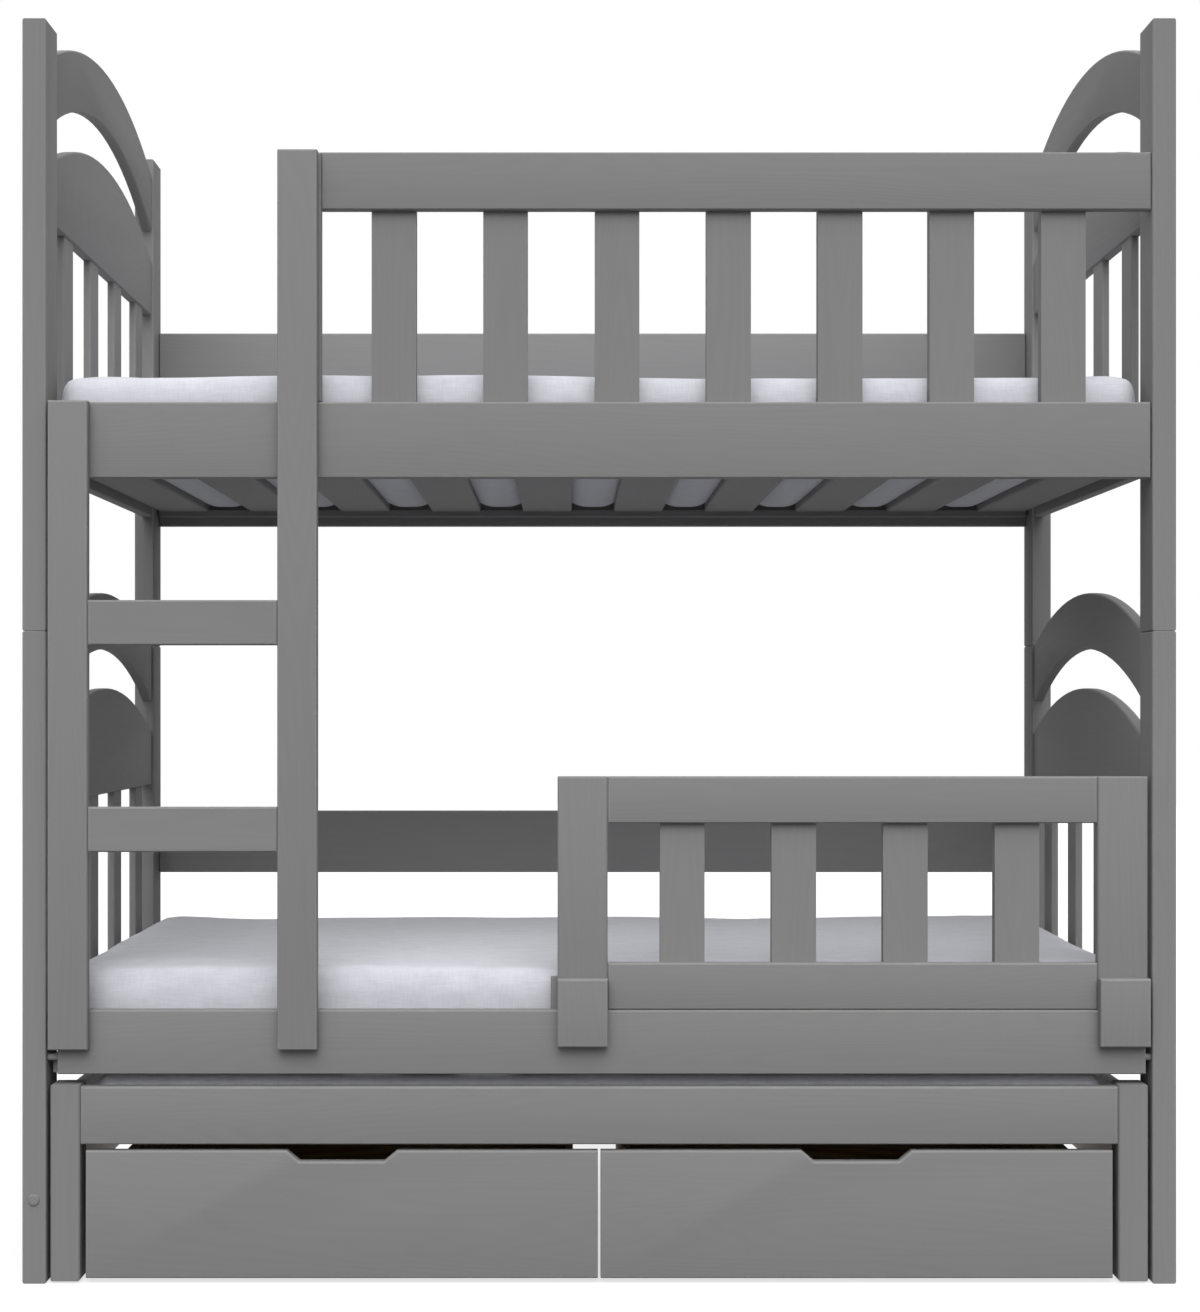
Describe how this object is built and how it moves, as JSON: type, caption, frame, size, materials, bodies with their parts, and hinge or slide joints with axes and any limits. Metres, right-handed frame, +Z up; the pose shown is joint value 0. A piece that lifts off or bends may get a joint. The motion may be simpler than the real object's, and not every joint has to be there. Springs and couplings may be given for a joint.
{
  "type": "triple bunk bed",
  "caption": "Bunk bed with arched slatted ends, ladder, guard rails, hook-on lower guard, mattresses, a wheeled trundle bed and rolling drawers.",
  "frame": {"origin": "on the floor, under the middle of the bed's overall box", "axes": "+X along the bed to the right seen from the ladder side, +Y to the back, +Z up; the drawers open towards -Y"},
  "size_m": [1.68, 0.894, 1.887],
  "materials": {
    "painted_pine": "satin grey paint with the grain showing",
    "bare_pine": "bare planed pine of the drawer boxes, a guessed finish",
    "mattress_cover": "pale linen weave",
    "wheel_plastic": "matte"
  },
  "bodies": {
    "bed_frame": {"lower_front_left_post": "painted_pine", "lower_front_right_post": "painted_pine", "lower_back_left_post": "painted_pine", "lower_back_right_post": "painted_pine", "upper_front_left_post": "painted_pine", "upper_front_right_post": "painted_pine", "upper_back_left_post": "painted_pine", "upper_back_right_post": "painted_pine", "lower_left_arch": "painted_pine", "lower_right_arch": "painted_pine", "upper_left_arch": "painted_pine", "upper_right_arch": "painted_pine", "lower_left_panel": "painted_pine", "lower_right_panel": "painted_pine", "upper_left_panel": "painted_pine", "upper_right_panel": "painted_pine", "lower_left_end_slats": "painted_pine", "lower_right_end_slats": "painted_pine", "upper_left_end_slats": "painted_pine", "upper_right_end_slats": "painted_pine", "lower_front_rail": "painted_pine", "lower_back_rail": "painted_pine", "lower_back_guard": "painted_pine", "upper_front_rail": "painted_pine", "upper_back_rail": "painted_pine", "upper_back_guard": "painted_pine", "lower_slatted_base": "painted_pine", "lower_mattress": "mattress_cover", "upper_slatted_base": "painted_pine", "upper_mattress": "mattress_cover", "upper_guard": "painted_pine", "upper_guard_end_post": "painted_pine", "ladder_left_stile": "painted_pine", "ladder_right_stile": "painted_pine", "ladder_lower_rung": "painted_pine", "ladder_upper_rung": "painted_pine"},
    "lower_guard": {"lower_guard_grille": "painted_pine", "lower_guard_left_stile": "painted_pine", "lower_guard_right_stile": "painted_pine", "lower_guard_left_hook": "painted_pine", "lower_guard_right_hook": "painted_pine"},
    "trundle": {"trundle_left_side": "painted_pine", "trundle_right_side": "painted_pine", "trundle_front_rail": "painted_pine", "trundle_back_rail": "painted_pine", "trundle_slatted_base": "painted_pine", "trundle_mattress": "mattress_cover"},
    "trundle_front_left_castor": {"trundle_front_left_wheel": "wheel_plastic"},
    "trundle_back_left_castor": {"trundle_back_left_wheel": "wheel_plastic"},
    "trundle_front_right_castor": {"trundle_front_right_wheel": "wheel_plastic"},
    "trundle_back_right_castor": {"trundle_back_right_wheel": "wheel_plastic"},
    "left_drawer": {"left_drawer_front": "painted_pine", "left_drawer_box": "bare_pine"},
    "left_drawer_front_wheel_set": {"left_drawer_front_wheels": "wheel_plastic"},
    "left_drawer_back_wheel_set": {"left_drawer_back_wheels": "wheel_plastic"},
    "right_drawer": {"right_drawer_front": "painted_pine", "right_drawer_box": "bare_pine"},
    "right_drawer_front_wheel_set": {"right_drawer_front_wheels": "wheel_plastic"},
    "right_drawer_back_wheel_set": {"right_drawer_back_wheels": "wheel_plastic"}
  },
  "joints": [
    {"name": "lower_guard_lift", "type": "slide", "parent": "bed_frame", "child": "lower_guard", "axis": [0, 0, 1], "range_m": [0, 0.055]},
    {"name": "trundle_slide", "type": "slide", "parent": "bed_frame", "child": "trundle", "axis": [0, -1, 0], "range_m": [0, 0.78]},
    {"name": "trundle_front_left_spin", "type": "hinge", "parent": "trundle", "child": "trundle_front_left_castor", "pos_m": [-0.7905, -0.326, 0.03], "axis": [1, 0, 0], "continuous": true},
    {"name": "trundle_back_left_spin", "type": "hinge", "parent": "trundle", "child": "trundle_back_left_castor", "pos_m": [-0.7905, 0.284, 0.03], "axis": [1, 0, 0], "continuous": true},
    {"name": "trundle_front_right_spin", "type": "hinge", "parent": "trundle", "child": "trundle_front_right_castor", "pos_m": [0.7905, -0.326, 0.03], "axis": [1, 0, 0], "continuous": true},
    {"name": "trundle_back_right_spin", "type": "hinge", "parent": "trundle", "child": "trundle_back_right_castor", "pos_m": [0.7905, 0.284, 0.03], "axis": [1, 0, 0], "continuous": true},
    {"name": "left_drawer_slide", "type": "slide", "parent": "bed_frame", "child": "left_drawer", "axis": [0, -1, 0], "range_m": [0, 0.6]},
    {"name": "left_drawer_front_spin", "type": "hinge", "parent": "left_drawer", "child": "left_drawer_front_wheel_set", "pos_m": [-0.37525, -0.332, 0.022], "axis": [1, 0, 0], "continuous": true},
    {"name": "left_drawer_back_spin", "type": "hinge", "parent": "left_drawer", "child": "left_drawer_back_wheel_set", "pos_m": [-0.37525, 0.128, 0.022], "axis": [1, 0, 0], "continuous": true},
    {"name": "right_drawer_slide", "type": "slide", "parent": "bed_frame", "child": "right_drawer", "axis": [0, -1, 0], "range_m": [0, 0.6]},
    {"name": "right_drawer_front_spin", "type": "hinge", "parent": "right_drawer", "child": "right_drawer_front_wheel_set", "pos_m": [0.37525, -0.332, 0.022], "axis": [1, 0, 0], "continuous": true},
    {"name": "right_drawer_back_spin", "type": "hinge", "parent": "right_drawer", "child": "right_drawer_back_wheel_set", "pos_m": [0.37525, 0.128, 0.022], "axis": [1, 0, 0], "continuous": true}
  ],
  "couplings": [
    {"joint": "trundle_front_left_spin", "follows": "trundle_slide", "rad_per_m": 33.333},
    {"joint": "trundle_back_left_spin", "follows": "trundle_slide", "rad_per_m": 33.333},
    {"joint": "trundle_front_right_spin", "follows": "trundle_slide", "rad_per_m": 33.333},
    {"joint": "trundle_back_right_spin", "follows": "trundle_slide", "rad_per_m": 33.333},
    {"joint": "left_drawer_front_spin", "follows": "left_drawer_slide", "rad_per_m": 45.455},
    {"joint": "left_drawer_back_spin", "follows": "left_drawer_slide", "rad_per_m": 45.455},
    {"joint": "right_drawer_front_spin", "follows": "right_drawer_slide", "rad_per_m": 45.455},
    {"joint": "right_drawer_back_spin", "follows": "right_drawer_slide", "rad_per_m": 45.455}
  ]
}
